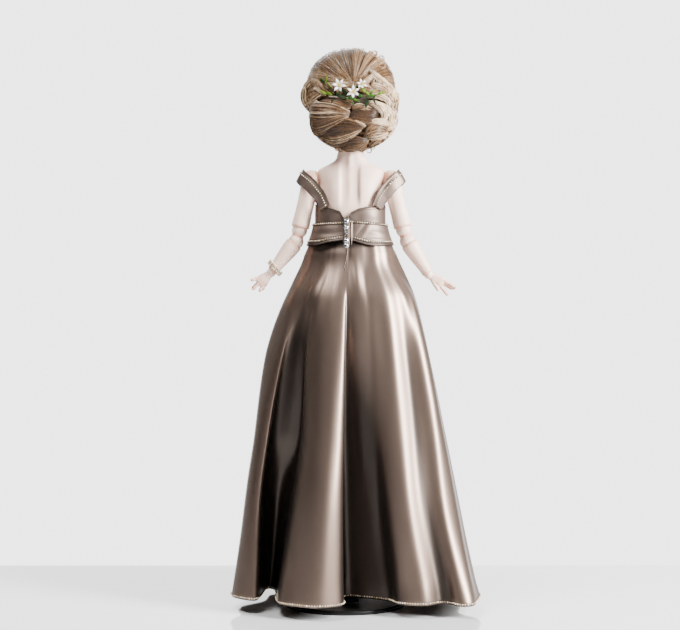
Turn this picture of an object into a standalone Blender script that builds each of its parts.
"""Ball-jointed fashion doll, 42 cm, in a long satin gown, held on a display stand.

The doll is a set of hollow resin parts strung with elastic: torso, pelvis, head
with a lid, and limbs whose peanut-shaped elbow and knee pieces give each of
those joints two hinges. The gown is a bodice, a midriff band, a flared skirt,
two off-shoulder straps and bead trims. The hair is a wig with a flower clip.

Units are metres, +Z is up, the doll faces -Y. The origin is the centre of the
underside of the stand's base disc. Driving dimensions below are millimetres.
"""
import bpy
import bmesh
import math
from mathutils import Vector

MM = 0.001
GAP = 0.3                      # clearance between neighbouring pieces

# ---- stand ---------------------------------------------------------------
BASE_R, BASE_T = 47.0, 3.0     # base disc
POST_Y = 21.5                  # post behind the doll's axis
POST_R, POST_BORE, POST_TOP = 3.2, 2.1, 118.0
ROD_R, ROD_BOTTOM, ROD_TOP = 1.8, 60.0, 266.5
CLIP_Z, CLIP_A, CLIP_B, CLIP_R = 268.0, 22.8, 16.2, 1.2

# ---- doll axis and median plane -------------------------------------------
DOLL_X, DOLL_Y = -4.0, -12.0   # doll frame in the stand's frame
CX = -0.8                      # median plane in the doll frame

# ---- arms: lengths shared by both sides, rest angles from the vertical -------
SHOULDER_Z = 323.2
SHOULDER_X = {"left": 29.7, "right": -31.2}
UPPER_ARM, ELBOW, FOREARM = 40.0, 9.2, 30.3
ARM_ANGLE = {"left": (13.2, 17.8, 38.5, 49.0), "right": (14.6, 18.8, 32.5, 58.0)}
SIDE = {"left": 1.0, "right": -1.0}
SHOULDER_R, ELBOW_R, WRIST_R = 7.4, 5.9, 3.6

# ---- legs ----------------------------------------------------------------
HIP_X, HIP_Z = 15.0, 222.0
THIGH, KNEE, SHIN = 95.0, 10.0, 91.0
HIP_R, KNEE_R, ANKLE_R = 11.0, 8.6, 5.0
SOLE_Z = 10.5

# ---- head and neck ---------------------------------------------------------
NECK_Z, NECK_R = 340.5, 10.8
HEAD_SPLIT = 392.0

# ---- gown ------------------------------------------------------------------
CLOTH = 1.2
HEM_Z = 9.0
SKIRT_TOP = 276.2

N_BODY = 18


# ============================================================================
# helpers
# ============================================================================
def clear_scene():
    for obj in list(bpy.data.objects):
        bpy.data.objects.remove(obj, do_unlink=True)


def collection(name):
    col = bpy.data.collections.new(name)
    bpy.context.scene.collection.children.link(col)
    return col


def material(name, rgb, rough, metal=0.0):
    m = bpy.data.materials.new(name)
    m.use_nodes = True
    b = m.node_tree.nodes["Principled BSDF"]
    b.inputs["Base Color"].default_value = (*rgb, 1.0)
    b.inputs["Roughness"].default_value = rough
    b.inputs["Metallic"].default_value = metal
    m.diffuse_color = (*rgb, 1.0)
    return m


def mesh_object(name, mesh, mat=None, parent=None, loc=(0, 0, 0), rot=(0, 0, 0), cutter=False):
    obj = bpy.data.objects.new(name, mesh)
    (CUTTERS if cutter else PARTS).objects.link(obj)
    if mat is not None:
        mesh.materials.append(mat)
    if parent is not None:
        obj.parent = parent
    obj.location = Vector(loc) * MM
    obj.rotation_euler = rot
    if cutter:
        obj.hide_render = True
        obj.display_type = "WIRE"
    return obj


def empty(name, parent=None, loc=(0, 0, 0), rot=(0, 0, 0)):
    e = bpy.data.objects.new(name, None)
    GUIDES.objects.link(e)
    e.hide_render = True
    e.empty_display_size = 0.01
    if parent is not None:
        e.parent = parent
    e.location = Vector(loc) * MM
    e.rotation_euler = rot
    return e


def smooth(mesh, angle=40.0):
    mesh.shade_smooth()
    mesh.set_sharp_from_angle(angle=math.radians(angle))


def loft(name, rings, loop=False):
    """Skin through rings of equal count. loop joins the last ring to the first;
    otherwise the two end rings are capped."""
    bm = bmesh.new()
    rows = [[bm.verts.new(Vector(p) * MM) for p in ring] for ring in rings]
    n = len(rows[0])
    pairs = list(zip(rows, rows[1:]))
    if loop:
        pairs.append((rows[-1], rows[0]))
    for lo, hi in pairs:
        for i in range(n):
            j = (i + 1) % n
            bm.faces.new((lo[i], lo[j], hi[j], hi[i]))
    if not loop:
        bm.faces.new(list(reversed(rows[0])))
        bm.faces.new(rows[-1])
    bmesh.ops.recalc_face_normals(bm, faces=bm.faces)
    mesh = bpy.data.meshes.new(name)
    bm.to_mesh(mesh)
    bm.free()
    smooth(mesh)
    return mesh


def oval(z, a, front, back, n=N_BODY, cx=CX, power=2.0):
    """Closed oval section: half width a, from y=front to y=back."""
    yc, b = (front + back) / 2, (back - front) / 2
    pts = []
    for k in range(n):
        t = 2 * math.pi * k / n
        c, s = math.cos(t), math.sin(t)
        x = a * math.copysign(abs(c) ** (2 / power), c)
        y = b * math.copysign(abs(s) ** (2 / power), s)
        pts.append((cx + x, yc + y, z))
    return pts


def offset_section(row, d):
    z, a, f, b = row
    return (z, a + d, f - d, b + d)


def offset_profile(rows, d):
    """Offset a stack of oval sections by d along the profile's normal."""
    out = []
    for i, (z, a, f, b) in enumerate(rows):
        z0, a0 = rows[max(i - 1, 0)][:2]
        z1, a1 = rows[min(i + 1, len(rows) - 1)][:2]
        run = math.hypot(z1 - z0, a1 - a0)
        nx, nz = (z1 - z0) / run, -(a1 - a0) / run
        out.append((z + d * nz, a + d * nx, f - d * nx, b + d * nx))
    return out


def turned(name, profile, steps, closed=True):
    """Profile of (radius, z) in mm, outer side from top to bottom, spun about Z."""
    mesh = bpy.data.meshes.new(name)
    verts = [(r * MM, 0.0, z * MM) for r, z in profile]
    edges = [(i, i + 1) for i in range(len(verts) - 1)]
    if closed:
        edges.append((len(verts) - 1, 0))
    mesh.from_pydata(verts, edges, [])
    mesh["steps"] = steps
    mesh["on_axis"] = int(not closed)
    return mesh


def spin(obj):
    m = obj.modifiers.new("Spin", "SCREW")
    m.axis = "Z"
    m.angle = 2 * math.pi
    m.screw_offset = 0.0
    m.steps = m.render_steps = obj.data["steps"]
    m.use_smooth_shade = True
    m.use_normal_calculate = False
    m.use_merge_vertices = bool(obj.data["on_axis"])
    m.merge_threshold = 1e-6
    return obj


def arc(zc, radius, a0, a1, n):
    """Points on a circle about (0, zc); angle 90 is the top, 0 the equator."""
    out = []
    for k in range(n + 1):
        a = math.radians(a0 + (a1 - a0) * k / n)
        out.append((radius * math.cos(a), zc + radius * math.sin(a)))
    return out


def boolean(obj, cutter, op="DIFFERENCE"):
    m = obj.modifiers.new(op.title(), "BOOLEAN")
    m.operation = op
    m.object = cutter
    m.solver = "EXACT"
    return m


def ellipsoid(name, radii, loc, parent=None, seg=16, rings=10, rot=(0, 0, 0)):
    mesh = bpy.data.meshes.new(name)
    bm = bmesh.new()
    bmesh.ops.create_uvsphere(bm, u_segments=seg, v_segments=rings, radius=1.0)
    bmesh.ops.scale(bm, vec=Vector(radii) * MM, verts=bm.verts)
    bm.to_mesh(mesh)
    bm.free()
    return mesh_object(name, mesh, None, parent, loc, rot, cutter=True)


def cylinder_mesh(name, r1, r2, height, seg=16):
    mesh = bpy.data.meshes.new(name)
    bm = bmesh.new()
    bmesh.ops.create_cone(bm, cap_ends=True, segments=seg, radius1=r1 * MM,
                          radius2=r2 * MM, depth=height * MM)
    bm.to_mesh(mesh)
    bm.free()
    smooth(mesh)
    return mesh


def box_mesh(name, sx, sy, sz):
    mesh = bpy.data.meshes.new(name)
    bm = bmesh.new()
    bmesh.ops.create_cube(bm, size=1.0)
    bmesh.ops.scale(bm, vec=Vector((sx, sy, sz)) * MM, verts=bm.verts)
    bm.to_mesh(mesh)
    bm.free()
    return mesh


def wire(name, points, radius, mat, parent=None, closed=False, res=1, loc=(0, 0, 0), rot=(0, 0, 0)):
    """Round wire through points (mm): a curve with a bevel and filled caps."""
    cu = bpy.data.curves.new(name, "CURVE")
    cu.dimensions = "3D"
    cu.bevel_depth = radius * MM
    cu.bevel_resolution = res
    cu.use_fill_caps = not closed
    sp = cu.splines.new("POLY")
    sp.points.add(len(points) - 1)
    for p, q in zip(sp.points, points):
        p.co = (*(Vector(q) * MM), 1.0)
    sp.use_cyclic_u = closed
    obj = bpy.data.objects.new(name, cu)
    PARTS.objects.link(obj)
    cu.materials.append(mat)
    if parent is not None:
        obj.parent = parent
    obj.location = Vector(loc) * MM
    obj.rotation_euler = rot
    return obj


def taper_tube(name, path, radii, seg=6, flat=1.0, up=(0, 1, 0)):
    """Tapering tube along a path, one section at each point."""
    rings = []
    count = len(path)
    for i, p in enumerate(path):
        a = Vector(path[max(i - 1, 0)])
        b = Vector(path[min(i + 1, count - 1)])
        t = (b - a).normalized()
        u = Vector(up)
        side = t.cross(u).normalized()
        nrm = side.cross(t).normalized()
        rings.append([
            Vector(p) + side * radii[i] * math.cos(2 * math.pi * k / seg)
            + nrm * radii[i] * flat * math.sin(2 * math.pi * k / seg)
            for k in range(seg)
        ])
    return loft(name, rings)


def lerp_rows(rows, z):
    """Interpolate a table of rows keyed by z (ascending)."""
    if z <= rows[0][0]:
        return (z, *rows[0][1:])
    for lo, hi in zip(rows, rows[1:]):
        if z <= hi[0]:
            t = (z - lo[0]) / (hi[0] - lo[0])
            return (z, *[p + (q - p) * t for p, q in zip(lo[1:], hi[1:])])
    return (z, *rows[-1][1:])


# ============================================================================
# scene, materials, frames
# ============================================================================
clear_scene()
PARTS = collection("fashion_doll")
CUTTERS = collection("cutters")
GUIDES = collection("joint_guides")

RESIN = material("resin_skin", (0.86, 0.70, 0.62), 0.42)
STEEL = material("black_painted_steel", (0.012, 0.012, 0.013), 0.3, 0.2)
WIRE_M = material("steel_wire", (0.55, 0.55, 0.56), 0.3, 1.0)
RUBBER = material("white_elastic", (0.82, 0.80, 0.76), 0.8)
SATIN = material("taupe_satin", (0.20, 0.155, 0.135), 0.32)
BEADS = material("ivory_beads", (0.80, 0.74, 0.60), 0.3)
HAIR = material("blond_brown_hair", (0.42, 0.29, 0.19), 0.45)
NETTING = material("wig_netting", (0.30, 0.22, 0.16), 0.9)
PETAL = material("white_petal", (0.90, 0.89, 0.85), 0.6)
LEAF = material("green_leaf", (0.09, 0.24, 0.05), 0.5)
EYE = material("glass_eye", (0.80, 0.80, 0.80), 0.1)

DOLL = empty("doll_axis", None, (DOLL_X, DOLL_Y, 0))

# ============================================================================
# stand
# ============================================================================
base_mesh = turned("stand_base", [
    (0.0, BASE_T), (BASE_R - 1.0, BASE_T), (BASE_R, BASE_T - 0.8),
    (BASE_R, 0.5), (BASE_R - 0.5, 0.0), (0.0, 0.0)], 32, closed=False)
base = spin(mesh_object("stand_base", base_mesh, STEEL))
post_mesh = turned("stand_post", [
    (POST_R, POST_TOP), (POST_R, BASE_T + 6), (POST_R + 2.2, BASE_T + 4),
    (POST_R + 3.0, BASE_T + GAP), (POST_BORE, BASE_T + GAP), (POST_BORE, POST_TOP)], 16)
post = spin(mesh_object("stand_post", post_mesh, STEEL, None,
                        (DOLL_X + CX, DOLL_Y + POST_Y, 0)))
knob_mesh = cylinder_mesh("stand_knob", 3.0, 3.4, 5.0, 12)
mesh_object("stand_knob", knob_mesh, STEEL, DOLL,
            (CX, POST_Y + POST_R + GAP + 2.5, POST_TOP - 6), (math.pi / 2, 0, 0))
mesh_object("stand_rod", cylinder_mesh("stand_rod", ROD_R, ROD_R, ROD_TOP - ROD_BOTTOM, 12),
            WIRE_M, DOLL, (CX, POST_Y, (ROD_TOP + ROD_BOTTOM) / 2))
clip_pts = []
for k in range(16):
    t = math.radians(-58 + 296 * k / 15)
    clip_pts.append((CX + CLIP_A * math.cos(t), CLIP_B * math.sin(t), CLIP_Z))
clip = wire("waist_clip", clip_pts, CLIP_R, WIRE_M, DOLL)
# stem from the rod's top to the clip's back, so the clip is one piece with its socket
stem_pts = [(CX, POST_Y, ROD_TOP + GAP), (CX, POST_Y, CLIP_Z + 0.2), (CX, CLIP_B + 0.2, CLIP_Z + 0.2)]


def curve_to_mesh(obj):
    bpy.context.view_layer.update()
    dg = bpy.context.evaluated_depsgraph_get()
    mesh = bpy.data.meshes.new_from_object(obj.evaluated_get(dg))
    bm = bmesh.new()
    bm.from_mesh(mesh)
    bmesh.ops.remove_doubles(bm, verts=bm.verts, dist=1e-6)
    bmesh.ops.recalc_face_normals(bm, faces=bm.faces)
    bm.to_mesh(mesh)
    bm.free()
    name, parent, loc, rot = obj.name, obj.parent, obj.location.copy(), obj.rotation_euler.copy()
    bpy.data.objects.remove(obj, do_unlink=True)
    return name, mesh, parent, loc, rot


cname, cmesh, cparent, cloc, crot = curve_to_mesh(clip)
clip = mesh_object(cname, cmesh, None, cparent)
stem = wire("clip_stem", stem_pts, CLIP_R * 0.95, WIRE_M, DOLL)
sname, smesh, sparent, sloc, srot = curve_to_mesh(stem)
stem = mesh_object("clip_stem_form", smesh, None, sparent, cutter=True)
boolean(clip, stem, "UNION")

# ============================================================================
# torso and pelvis
# ============================================================================
TORSO_OUT = [
    (262.0, 18.8, -13.0, 12.5), (270.0, 20.4, -14.5, 13.5), (280.0, 23.6, -17.5, 15.0),
    (290.0, 25.5, -21.0, 16.0), (298.0, 25.9, -23.6, 16.4), (305.0, 25.5, -22.5, 16.4),
    (312.0, 24.2, -18.0, 15.7), (319.0, 24.2, -14.0, 14.5), (325.0, 25.6, -11.5, 13.2),
    (329.0, 25.6, -10.0, 12.0), (331.5, 23.6, -9.0, 11.0), (334.0, 18.6, -8.6, 10.2),
    (336.8, 13.8, -9.2, 10.0), (339.5, 11.3, -10.4, 10.6),
]
TORSO_IN = [
    (262.0, 16.2, -10.6, 10.2), (275.0, 18.6, -12.5, 11.4), (290.0, 21.0, -15.0, 12.4),
    (304.0, 20.5, -15.5, 12.2), (316.0, 17.0, -10.0, 10.0), (325.0, 10.0, -6.5, 7.5),
    (331.0, 4.6, -4.6, 4.6), (346.0, 3.4, -3.4, 3.4),
]
rings = [oval(*r, power=2.25) for r in TORSO_OUT]
for z in (343.5, 347.0, 349.4):
    r = math.sqrt(NECK_R ** 2 - (z - NECK_Z) ** 2)
    rings.append(oval(z, r, -r, r))
z_top = NECK_Z + math.sqrt(NECK_R ** 2 - 3.4 ** 2)
rings.append(oval(z_top, 3.4, -3.4, 3.4))
rings += [oval(*r) for r in reversed(TORSO_IN)]
torso = mesh_object("torso_upper", loft("torso_upper", rings, loop=True), RESIN, DOLL)
for side in ("left", "right"):
    boolean(torso, ellipsoid("shoulder_socket_" + side, (SHOULDER_R + GAP,) * 3,
                             (SHOULDER_X[side], 0, SHOULDER_Z), DOLL, 16, 10))
channel = mesh_object("shoulder_channel", cylinder_mesh("shoulder_channel", 2.4, 2.4, 56, 10),
                      None, DOLL, (CX, 0, SHOULDER_Z), (0, math.pi / 2, 0), cutter=True)
boolean(torso, channel)

WAIST_Z = 256.0
PELVIS = [
    (213.0, 26.0, -13.5, 14.5), (217.0, 28.0, -16.0, 16.4), (223.0, 28.6, -16.8, 17.0),
    (232.0, 27.4, -16.2, 16.4), (242.0, 23.4, -14.6, 14.6), (250.0, 20.0, -13.8, 13.4),
    (256.0, 18.6, -13.2, 12.8), (258.6, 15.6, -10.4, 10.0), (263.0, 14.2, -9.0, 8.6),
    (267.0, 9.5, -6.0, 5.6),
]
pelvis = mesh_object("torso_lower", loft("torso_lower", [oval(*r) for r in PELVIS]), RESIN, DOLL)
for side in ("left", "right"):
    hx = CX + SIDE[side] * HIP_X
    boolean(pelvis, ellipsoid("hip_socket_" + side, (HIP_R + 0.6,) * 3, (hx, 0, HIP_Z), DOLL, 14, 10))
    flare = mesh_object("hip_flare_" + side, cylinder_mesh("hip_flare_" + side, 14.6, 11.0, 10, 14),
                        None, DOLL, (hx, 0, HIP_Z - 9.0), cutter=True)
    boolean(pelvis, flare)
bore = mesh_object("pelvis_bore", cylinder_mesh("pelvis_bore", 3.0, 3.0, 80, 10), None, DOLL,
                   (CX, 0, 240), cutter=True)
boolean(pelvis, bore)
wire("torso_elastic", [(CX, 0, 247), (CX, 0, 290), (CX, 0, 334)], 1.2, RUBBER, DOLL)

# ============================================================================
# arms
# ============================================================================
LIMB = {}


def limb_frames(side):
    s = SIDE[side]
    a1, a2, a3, a4 = [math.radians(a) for a in ARM_ANGLE[side]]
    p = Vector((SHOULDER_X[side], 0, SHOULDER_Z))
    frames = [("shoulder", p.copy(), -s * a1)]
    p += Vector((s * math.sin(a1), 0, -math.cos(a1))) * UPPER_ARM
    frames.append(("elbow_upper", p.copy(), -s * a2))
    p += Vector((s * math.sin(a2), 0, -math.cos(a2))) * ELBOW
    frames.append(("elbow_lower", p.copy(), -s * a3))
    p += Vector((s * math.sin(a3), 0, -math.cos(a3))) * FOREARM
    frames.append(("wrist", p.copy(), -s * a4))
    return frames


CH = 1.5                                            # channel for the elastic
SOCK = ELBOW_R + GAP
RIM = 2.0
rim_r = math.sqrt(SOCK ** 2 - RIM ** 2)
top_ch = math.degrees(math.acos(CH / SHOULDER_R))
upper_profile = (
    arc(0, SHOULDER_R, top_ch, -20, 5)
    + [(6.75, -7.5), (6.5, -17), (6.6, -27), (6.8, -34), (6.7, -UPPER_ARM + RIM)]
    + [(rim_r, -UPPER_ARM + RIM)]
    + arc(-UPPER_ARM, SOCK, math.degrees(math.asin(RIM / SOCK)) + 12,
          math.degrees(math.acos(CH / SOCK)), 4)
)
top_b = math.degrees(math.acos(CH / ELBOW_R))
elbow_profile = (
    arc(0, ELBOW_R, top_b, -32, 5)
    + [(4.6, -ELBOW / 2)]
    + arc(-ELBOW, ELBOW_R, 32, -top_b, 5)
)
W_SOCK = WRIST_R + GAP
W_RIM = 1.2
w_rim_r = math.sqrt(W_SOCK ** 2 - W_RIM ** 2)
fore_profile = (
    [(6.4, -RIM), (6.25, -7), (5.7, -14), (4.95, -21), (4.55, -27), (4.4, -FOREARM + W_RIM)]
    + [(w_rim_r, -FOREARM + W_RIM)]
    + arc(-FOREARM, W_SOCK, math.degrees(math.asin(W_RIM / W_SOCK)) + 12,
          math.degrees(math.acos(CH / W_SOCK)), 3)
    + arc(0, SOCK, -math.degrees(math.acos(CH / SOCK)),
          -math.degrees(math.asin(RIM / SOCK)) - 12, 4)
    + [(rim_r, -RIM)]
)
# fingers: (angle in the picture plane, length, sideways lean, root offset, radius)
FINGERS = {
    "left": [(20, 17.6, -2.5, 3.0, 1.25), (9, 19.0, -1.0, 1.6, 1.3), (-2, 20.6, 0.6, 0.2, 1.3),
             (-13, 19.4, 1.8, -1.4, 1.25), (-27, 13.6, -2.8, -2.6, 1.45)],
    "right": [(10, 23.0, 1.6, 2.4, 1.25), (4, 23.4, 0.4, 1.2, 1.3), (-6, 22.8, -1.2, 0.0, 1.3),
              (-13, 21.6, -2.4, -1.4, 1.25), (-27, 12.0, 2.6, -2.4, 1.45)],
}

for side in ("left", "right"):
    s = SIDE[side]
    f = {n: (p, r) for n, p, r in limb_frames(side)}
    parent = DOLL
    joint = {}
    for n in ("shoulder", "elbow_upper", "elbow_lower", "wrist"):
        p, r = f[n]
        joint[n] = empty(f"{n}_{side}", DOLL, p, (0, r, 0))
    spin(mesh_object("upper_arm_" + side, turned("upper_arm_" + side, upper_profile, 12),
                     RESIN, joint["shoulder"]))
    spin(mesh_object("elbow_" + side, turned("elbow_" + side, elbow_profile, 12),
                     RESIN, joint["elbow_upper"]))
    spin(mesh_object("forearm_" + side, turned("forearm_" + side, fore_profile, 12),
                     RESIN, joint["elbow_lower"]))
    hand = mesh_object("hand_" + side, None or loft("hand_" + side, [
        oval(-2.0, 2.3, -1.7, 1.7, 10, 0), oval(-4.5, 3.4, -2.2, 2.2, 10, 0),
        oval(-8.5, 4.3, -2.5, 2.5, 10, 0), oval(-11.0, 4.0, -2.1, 2.1, 10, 0),
        oval(-12.2, 2.6, -1.2, 1.2, 10, 0)]), RESIN, joint["wrist"])
    boolean(hand, ellipsoid("wrist_ball_" + side, (WRIST_R,) * 3, (0, 0, 0), joint["wrist"], 12, 8), "UNION")
    for k, (ang, length, lean, root, rad) in enumerate(FINGERS[side]):
        a = math.radians(ang) * s
        tip = Vector((math.sin(a) * length, lean, -math.cos(a) * length))
        start = Vector((root * s, lean * 0.25, -5.0 if k == 4 else -9.0))
        mid = start.lerp(tip, 0.55) + Vector((0, -0.5, 0))
        tube = taper_tube(f"finger_{side}_{k}", [start, mid, start.lerp(tip, 0.88), tip],
                          [rad * 1.05, rad, rad * 0.82, rad * 0.45], 5)
        boolean(hand, mesh_object(f"finger_{side}_{k}", tube, None, joint["wrist"], cutter=True), "UNION")
    hand_bore = mesh_object("hand_bore_" + side, cylinder_mesh("hand_bore_" + side, 1.3, 1.3, 8, 8),
                            None, joint["wrist"], (0, 0, 3.4), cutter=True)
    boolean(hand, hand_bore)
    # wire hook that the arm elastic pulls on, in the end of the forearm and the hand
    wire("wrist_hook_" + side, [(0, 0, 4.0 - FOREARM), (0, 0, 9.6 - FOREARM)], 0.8, WIRE_M, joint["elbow_lower"])
    # elastic: straight runs that stand for the continuous loop
    wire("arm_elastic_" + side, [(0, 0, -4.0), (0, 0, -32.0)], 0.75, RUBBER, joint["shoulder"])
    wire("shoulder_elastic_" + side, [(SHOULDER_X[side] - s * 8.0, 0, SHOULDER_Z),
                                      (CX + s * 13.0, 0, SHOULDER_Z)], 1.1, RUBBER, DOLL)

# ============================================================================
# legs
# ============================================================================
LCH = 2.2
k_sock, K_RIM = KNEE_R + GAP, 3.0
k_rim_r = math.sqrt(k_sock ** 2 - K_RIM ** 2)
a_sock, A_RIM = ANKLE_R + GAP, 1.8
a_rim_r = math.sqrt(a_sock ** 2 - A_RIM ** 2)
thigh_profile = (
    arc(0, HIP_R, math.degrees(math.acos(LCH / HIP_R)), -35, 5)
    + [(9.6, -9.5), (12.2, -15.0), (13.0, -24), (12.0, -48), (10.4, -72), (9.6, -86), (9.4, -THIGH + K_RIM)]
    + [(k_rim_r, -THIGH + K_RIM)]
    + arc(-THIGH, k_sock, math.degrees(math.asin(K_RIM / k_sock)) + 12,
          math.degrees(math.acos(LCH / k_sock)), 4)
)
knee_top = math.degrees(math.acos(LCH / KNEE_R))
knee_profile = (arc(0, KNEE_R, knee_top, -22, 4) + [(7.4, -KNEE / 2)]
                + arc(-KNEE, KNEE_R, 22, -knee_top, 4))
shin_profile = (
    [(9.3, -K_RIM), (9.2, -9), (9.8, -24), (8.6, -45), (6.6, -68), (5.9, -82), (5.9, -SHIN + A_RIM)]
    + [(a_rim_r, -SHIN + A_RIM)]
    + arc(-SHIN, a_sock, math.degrees(math.asin(A_RIM / a_sock)) + 12,
          math.degrees(math.acos(1.6 / a_sock)), 3)
    + arc(0, k_sock, -math.degrees(math.acos(LCH / k_sock)),
          -math.degrees(math.asin(K_RIM / k_sock)) - 12, 4)
    + [(k_rim_r, -K_RIM)]
)
K1 = HIP_Z - THIGH
K2 = K1 - KNEE
ANKLE_Z = K2 - SHIN
for side in ("left", "right"):
    s = SIDE[side]
    hx = CX + s * HIP_X
    hip = empty("hip_" + side, DOLL, (hx, 0, HIP_Z))
    knee_u = empty("knee_upper_" + side, DOLL, (hx, 0, K1))
    knee_l = empty("knee_lower_" + side, DOLL, (hx, 0, K2))
    ankle = empty("ankle_" + side, DOLL, (hx, 0, ANKLE_Z))
    spin(mesh_object("thigh_" + side, turned("thigh_" + side, thigh_profile, 12), RESIN, hip))
    spin(mesh_object("knee_" + side, turned("knee_" + side, knee_profile, 12), RESIN, knee_u))
    spin(mesh_object("shin_" + side, turned("shin_" + side, shin_profile, 12), RESIN, knee_l))
    sole = SOLE_Z - ANKLE_Z
    foot_rows = [  # y, half width, bottom, top
        (9.5, 3.5, sole + 1.5, sole + 8.0), (7.0, 5.6, sole + 0.3, sole + 11.0),
        (1.0, 6.0, sole, sole + 12.0), (-7.0, 6.4, sole + 0.8, sole + 12.0),
        (-16.0, 7.6, sole + 0.6, sole + 9.4), (-25.0, 8.8, sole, sole + 6.6),
        (-31.0, 8.2, sole, sole + 5.2), (-35.0, 5.4, sole + 0.6, sole + 4.0)]
    rings = []
    for y, w, lo, hi in foot_rows:
        zc, h = (lo + hi) / 2, (hi - lo) / 2
        rings.append([(w * math.cos(2 * math.pi * k / 12), y, zc + h * math.sin(2 * math.pi * k / 12))
                      for k in range(12)])
    foot = mesh_object("foot_" + side, loft("foot_" + side, rings), RESIN, ankle)
    ankle_form = loft("ankle_form_" + side, [
        oval(-8.0, 5.4, -5.4, 5.4, 12, 0), oval(-4.4, 4.0, -4.0, 4.0, 12, 0),
        oval(-3.0, 4.0, -4.0, 4.0, 12, 0), oval(0.0, ANKLE_R, -ANKLE_R, ANKLE_R, 12, 0),
        oval(3.0, 4.0, -4.0, 4.0, 12, 0), oval(4.7, 1.7, -1.7, 1.7, 12, 0)])
    boolean(foot, mesh_object("ankle_form_" + side, ankle_form, None, ankle, cutter=True), "UNION")
    boolean(foot, mesh_object("ankle_bore_" + side, cylinder_mesh("ankle_bore_" + side, 1.3, 1.3, 9, 8),
                              None, ankle, (0, 0, 3.4), cutter=True))
    wire("ankle_hook_" + side, [(0, 0, 5.4), (0, 0, 12.0)], 0.9, WIRE_M, ankle)
    wire("leg_elastic_" + side, [(0, 0, -6.0), (0, 0, -84.0)], 1.1, RUBBER, hip)

# ============================================================================
# head
# ============================================================================
HEAD = [
    (345.6, 12.0, -12.2, 12.4), (348.4, 13.6, -17.0, 13.2), (352.0, 15.8, -23.4, 14.6),
    (357.0, 19.0, -25.6, 17.5), (364.0, 22.6, -27.4, 22.0), (374.0, 25.4, -28.8, 26.4),
    (384.0, 26.8, -30.0, 28.8), (392.0, 27.2, -30.6, 29.6), (400.0, 26.8, -30.2, 29.2),
    (408.0, 24.2, -27.2, 26.4), (414.0, 18.2, -20.0, 20.0), (417.4, 10.0, -10.5, 11.5),
    (418.6, 3.0, -3.0, 4.0)]
WALL = 2.4
lower = [r for r in HEAD if r[0] <= HEAD_SPLIT]
rings = [oval(*r) for r in lower]
inner_rows = [(HEAD_SPLIT, -WALL), (384.0, -WALL), (374.0, -WALL), (364.0, -WALL - 0.6)]
for z, d in inner_rows:
    rings.append(oval(*offset_section(lerp_rows(HEAD, z), d)))
rings.append(oval(355.9, 12.0, -14.0, 12.0))     # floor that the hook's bar bears on
rings.append(oval(353.4, 6.4, -6.4, 6.4))
H_SOCK = NECK_R + GAP
rings.append(oval(351.3, 6.2, -6.2, 6.2))
for z in (349.6, 347.6):
    r = math.sqrt(H_SOCK ** 2 - (z - NECK_Z) ** 2)
    rings.append(oval(z, r, -r, r))
r = math.sqrt(H_SOCK ** 2 - (345.6 - NECK_Z) ** 2)
rings.append(oval(345.6, r, -r, r))
head = mesh_object("head_shell", loft("head_shell", rings, loop=True), RESIN, DOLL)
EYE_X, EYE_Z = 10.6, 375.0
for side in ("left", "right"):
    boolean(head, ellipsoid("eye_opening_" + side, (5.0, 7.0, 3.2),
                            (CX + SIDE[side] * EYE_X, -27.5, EYE_Z), DOLL, 12, 8))

upper = [(HEAD_SPLIT + GAP, *lerp_rows(HEAD, HEAD_SPLIT + GAP)[1:])] + [r for r in HEAD if r[0] > HEAD_SPLIT + 1]
inner = offset_profile(upper[:-1], -WALL)
inner[0] = (upper[0][0], *inner[0][1:])
rings = [oval(inner[-1][0] + 0.6, 3.0, -3.4, 4.0)] + [oval(*r) for r in reversed(inner)]
rings += [oval(*r) for r in upper]
mesh_object("head_cap", loft("head_cap", rings), RESIN, DOLL)

for side in ("left", "right"):
    eye = turned("eye_" + side, arc(0, 5.2, 90, 0, 4) + [(5.2, -1.2), (0.0, -1.2)], 12, closed=False)
    spin(mesh_object("eye_" + side, eye, EYE, DOLL, (CX + SIDE[side] * EYE_X, -15.0, EYE_Z),
                     (math.pi / 2, 0, 0)))

wire("neck_hook", [(CX, 0, 337.5), (CX, 0, 356.4)], 0.9, WIRE_M, DOLL)
hook = bpy.data.objects["neck_hook"]
nname, nmesh, nparent, nloc, nrot = curve_to_mesh(hook)
hook = mesh_object(nname, nmesh, None, DOLL)
hook_bar = mesh_object("hook_bar_form", cylinder_mesh("hook_bar_form", 1.1, 1.1, 13.0, 8), None, DOLL,
                       (CX, 0, 356.6), (0, math.pi / 2, 0), cutter=True)
boolean(hook, hook_bar, "UNION")

# wig: net cap, then the dressed hair with its chignon and side braids
cap_rows = [r for r in HEAD if r[0] > 380.0]
cap_in = offset_profile(cap_rows, 0.4)
cap_out = offset_profile(cap_rows, 1.1)
wig_cap = mesh_object("wig_cap", loft("wig_cap", [oval(*r) for r in cap_in[::-1] + cap_out]), NETTING, DOLL)
face_cut = ellipsoid("face_opening", (23.4, 30.0, 27.0), (CX, -38.0, 376.0), DOLL, 16, 10)
boolean(wig_cap, face_cut)

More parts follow.
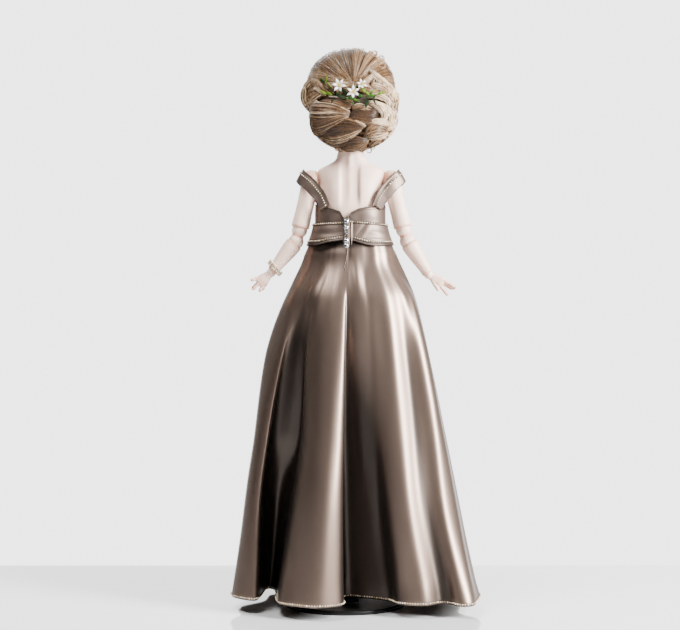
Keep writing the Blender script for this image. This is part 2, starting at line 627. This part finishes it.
HAIR_OUT = [
    (362.0, 25.0, 0.0, 31.0), (368.0, 28.6, -12.0, 33.0), (376.0, 30.6, -24.0, 35.0),
    (386.0, 31.6, -31.0, 36.2), (396.0, 31.4, -33.4, 35.8), (404.0, 30.2, -32.6, 33.6),
    (411.0, 27.2, -29.0, 29.6), (417.0, 21.6, -23.0, 23.6), (421.4, 13.6, -15.0, 15.4),
    (423.8, 5.0, -6.0, 6.0)]
hair = mesh_object("wig_hair", loft("wig_hair", [oval(*r) for r in HAIR_OUT]), HAIR, DOLL)
chignon = ellipsoid("chignon_form", (33.0, 16.5, 22.6), (-2.0, 26.5, 366.0), DOLL, 16, 10)
boolean(hair, chignon, "UNION")
for side, xs, zs in (("left", 1.0, -9.0), ("right", -1.0, -3.0)):
    path = [(CX + xs * 19.0, -19.0, 403 + zs), (CX + xs * 28.6, -9.0, 400 + zs), (CX + xs * 31.2, 4.0, 394 + zs),
            (CX + xs * 29.4, 17.0, 388 + zs), (CX + xs * 22.0, 29.0, 384 + zs)]
    braid = taper_tube("braid_form_" + side, path, [2.0, 4.2, 5.4, 6.0, 5.0], 8, 1.0, (0, 0, 1))
    boolean(hair, mesh_object("braid_form_" + side, braid, None, DOLL, cutter=True), "UNION")
form_rows = offset_profile(HEAD, 1.5)
form = mesh_object("head_form", loft("head_form", [oval(*r) for r in form_rows]), None, DOLL, cutter=True)
boolean(hair, form)
boolean(hair, face_cut)

# flower clip: metal clip, sprig and three lilies on the back of the head
wire("hair_clip", [(CX + 17, 38.2, 381.2), (CX + 6, 40.7, 379.8), (CX - 6, 40.9, 379.8), (CX - 17, 38.4, 381.2)],
     0.8, WIRE_M, DOLL)
wire("flower_sprig", [(CX + 24.0, 38.6, 383.2), (CX + 12, 42.6, 381.2), (CX, 44.0, 378.6), (CX - 12, 42.8, 380.2),
                      (CX - 25, 38.6, 382.2)], 1.0, LEAF, DOLL)
LILIES = [("lily_1", 8.5, 387.6, 42.2, 6.0), ("lily_2", -1.9, 382.4, 45.8, 6.2), ("lily_3", -8.3, 388.4, 42.2, 5.0)]
for name, x, z, y, R in LILIES:
    rings = []
    for zz, rr, sharp in ((0.0, 0.9, 0.0), (1.6, 2.0, 0.0), (3.2, R * 0.62, 0.2), (4.2, R, 0.42)):
        rings.append([((rr * (1 - (sharp if k % 2 else 0))) * math.cos(2 * math.pi * k / 12),
                       (rr * (1 - (sharp if k % 2 else 0))) * math.sin(2 * math.pi * k / 12), zz)
                      for k in range(12)])
    rings.append([(0.45 * p[0], 0.45 * p[1], 3.4) for p in rings[-1]])
    mesh_object(name, loft(name, rings), PETAL, DOLL, (x, y, z), (math.radians(-80), 0, 0))

# ============================================================================
# gown
# ============================================================================
def tube_shell(name, rows, mat, parent, n=24, power=2.25, thick=CLOTH):
    """Cloth tube: rows give the inner section, the outer is thick outside it."""
    rings = [oval(*offset_section(r, thick), n, CX, power) for r in rows]
    rings += [oval(*r, n, CX, power) for r in reversed(rows)]
    return mesh_object(name, loft(name, rings, loop=True), mat, parent)


BODICE = [(291.3, 26.3, -22.2, 17.0), (298.0, 26.4, -24.6, 17.2), (304.6, 26.0, -23.4, 17.0)]
tube_shell("bodice", BODICE, SATIN, DOLL)
BAND = [(277.4, 31.0, -25.0, 21.4), (284.0, 28.6, -23.4, 19.0), (290.9, 26.5, -22.2, 17.2)]
tube_shell("midriff_band", BAND, SATIN, DOLL)

# skirt: silhouette half width by height, and the hem's folds by angle
WIDTH = [(4.0, 96.0), (18.0, 91.5), (38.0, 89.0), (51.0, 86.0), (71.0, 83.2), (95.0, 79.0), (128.0, 72.8),
         (150.0, 70.0), (168.0, 67.0), (188.0, 63.2), (206.0, 58.8), (221.0, 54.0), (236.0, 49.0),
         (250.0, 42.5), (262.0, 36.8), (276.2, 33.0)]
FOLDS = [(0, 84), (12, 93), (24, 92), (34, 80), (45, 66), (53, 74), (60, 92), (70, 97), (80, 93), (88, 84),
         (95, 70), (104, 72), (112, 84), (120, 90), (128, 88), (136, 84), (146, 92), (156, 101), (166, 103),
         (176, 97), (188, 84), (200, 80), (212, 90), (225, 97), (238, 92), (250, 88), (262, 90), (275, 95),
         (288, 90), (300, 78), (312, 82), (325, 93), (338, 90), (350, 80), (360, 84)]


def fold_radius(deg):
    deg %= 360
    for (a0, r0), (a1, r1) in zip(FOLDS, FOLDS[1:]):
        if deg <= a1:
            t = (deg - a0) / (a1 - a0)
            return r0 + (r1 - r0) * (3 * t * t - 2 * t ** 3)
    return FOLDS[-1][1]


def skirt_ring(z, inset=0.0, n=44):
    w = lerp_rows(WIDTH, z)[1]
    s = min(max((262.0 - z) / 200.0, 0.0), 1.0)
    s = s * s * (3 - 2 * s)
    ratio = 0.74 + 0.18 * s                       # rounder in plan towards the hem
    pts = []
    for k in range(n):
        deg = 360.0 * k / n + 4.0
        t = math.radians(deg)
        ell = 1.0 / math.sqrt(math.cos(t) ** 2 + (math.sin(t) / ratio) ** 2)
        r = w * ((1 - s) * ell + s * fold_radius(deg) / 95.0) - inset
        pts.append((CX + r * math.cos(t), r * math.sin(t), z))
    return pts


levels = [HEM_Z, 50.0, 95.0, 140.0, 180.0, 215.0, 242.0, 262.0, SKIRT_TOP]
rings = [skirt_ring(z) for z in levels] + [skirt_ring(z, CLOTH) for z in reversed(levels)]
mesh_object("skirt", loft("skirt", rings, loop=True), SATIN, DOLL)

# back placket with five stones down the closure
PLACKET_X = 2.9
PLACKET = [(296.5, 18.9), (291.0, 18.9), (284.2, 21.2), (277.6, 24.2), (275.6, 25.9), (269.6, 27.4)]  # z, inner y
rings = []
for z, y in PLACKET:
    rings.append([(PLACKET_X - 2.3, y, z), (PLACKET_X + 2.3, y, z), (PLACKET_X + 2.3, y + 1.0, z),
                  (PLACKET_X - 2.3, y + 1.0, z)])
placket = mesh_object("placket", loft("placket", rings), SATIN, DOLL)
for k, (z, r) in enumerate(((292.1, 2.1), (287.0, 2.1), (282.6, 1.7), (276.6, 2.1), (271.8, 2.1))):
    y = lerp_rows(PLACKET[::-1], z)[1] + 0.6
    stone = mesh_object(f"stone_form_{k}", cylinder_mesh(f"stone_form_{k}", r, r * 0.45, 2.0, 8), None, DOLL,
                        (PLACKET_X, y + 1.0, z), (math.radians(-90), 0, 0), cutter=True)
    boolean(placket, stone, "UNION")


def strap_frames(side):
    s = SIDE[side]
    sh = Vector((SHOULDER_X[side], 0, SHOULDER_Z))
    half = [((-7.4, 12.6, -14.6), (0.50, 0.86, 0.05)), ((-3.2, 11.6, -9.6), (0.35, 0.93, 0.10)),
            ((1.6, 9.8, -4.2), (0.35, 0.90, 0.26)), ((6.8, 6.3, 0.9), (0.70, 0.60, 0.38)),
            ((8.1, 3.2, 2.4), (0.79, 0.33, 0.50)), ((8.5, 0.0, 3.1), (0.83, 0.0, 0.56))]
    full = half + [((a, -b, c), (d, -e, f)) for (a, b, c), (d, e, f) in half[-2::-1]]
    full[-1] = ((-7.4, -15.2, -14.6), (0.50, -0.86, 0.05))
    pts = [(sh + Vector((s * a, b, c)), Vector((s * d, e, f)).normalized()) for (a, b, c), (d, e, f) in full]
    out = []
    for i, (p, nrm) in enumerate(pts):
        t = (pts[min(i + 1, len(pts) - 1)][0] - pts[max(i - 1, 0)][0]).normalized()
        wdt = t.cross(nrm).normalized()
        nrm = wdt.cross(t).normalized()
        if wdt.z < 0:
            wdt = -wdt
        out.append((p, nrm, wdt))
    return out


for side in ("left", "right"):
    rings, bead_pts = [], []
    for p, nrm, wdt in strap_frames(side):
        if nrm.dot(p - Vector((SHOULDER_X[side], 0, SHOULDER_Z))) < 0:
            nrm = -nrm
        h, t = wdt * 4.9, nrm * 0.4
        rings.append([p - h - t, p + h - t, p + h + t, p - h + t])
        bead_pts.append(p + wdt * 1.8 + nrm * 1.6)
    mesh_object("strap_" + side, loft("strap_" + side, rings), SATIN, DOLL)
    wire("strap_beads_" + side, bead_pts, 0.8, BEADS, DOLL, res=0)


def oval_wire(name, z, a, f, b, r, n=26):
    """Bead line round the gown, open where the placket crosses it."""
    pts = []
    yc, h = (f + b) / 2, (b - f) / 2
    for k in range(n):
        t = math.radians(92.0 + (360.0 - 19.0) * k / (n - 1))
        c, s = math.cos(t), math.sin(t)
        pts.append((CX + a * math.copysign(abs(c) ** (2 / 2.25), c), yc + h * math.copysign(abs(s) ** (2 / 2.25), s), z))
    return wire(name, pts, r, BEADS, DOLL, res=0)


oval_wire("bead_trim_upper", 291.1, 26.4 + CLOTH + 1.3, -22.2 - CLOTH - 1.3, 17.1 + CLOTH + 1.3, 0.9)
oval_wire("bead_trim_lower", 277.6, 31.0 + CLOTH + 1.3, -25.0 - CLOTH - 1.3, 21.4 + CLOTH + 1.3, 0.9)
rim = skirt_ring(HEM_Z + 3.0)
hem = []
for k, p in enumerate(rim):
    q, r = Vector(rim[k - 1]), Vector(rim[(k + 1) % len(rim)])
    t = (r - q).normalized()
    hem.append(Vector(p) + Vector((t.y, -t.x, 0)) * 1.9)
wire("hem_beads", hem, 0.9, BEADS, DOLL, closed=True, res=0)

# beaded bracelet on the left wrist
wrist = dict((n, (p, r)) for n, p, r in limb_frames("left"))["elbow_lower"]
brace_pts = []
for k in range(12):
    t = 2 * math.pi * k / 12
    brace_pts.append((6.9 * math.cos(t), 6.9 * math.sin(t), -FOREARM + 4.5 + 1.2 * math.cos(t)))
wire("bracelet", brace_pts, 1.7, BEADS, bpy.data.objects["elbow_lower_left"], closed=True)
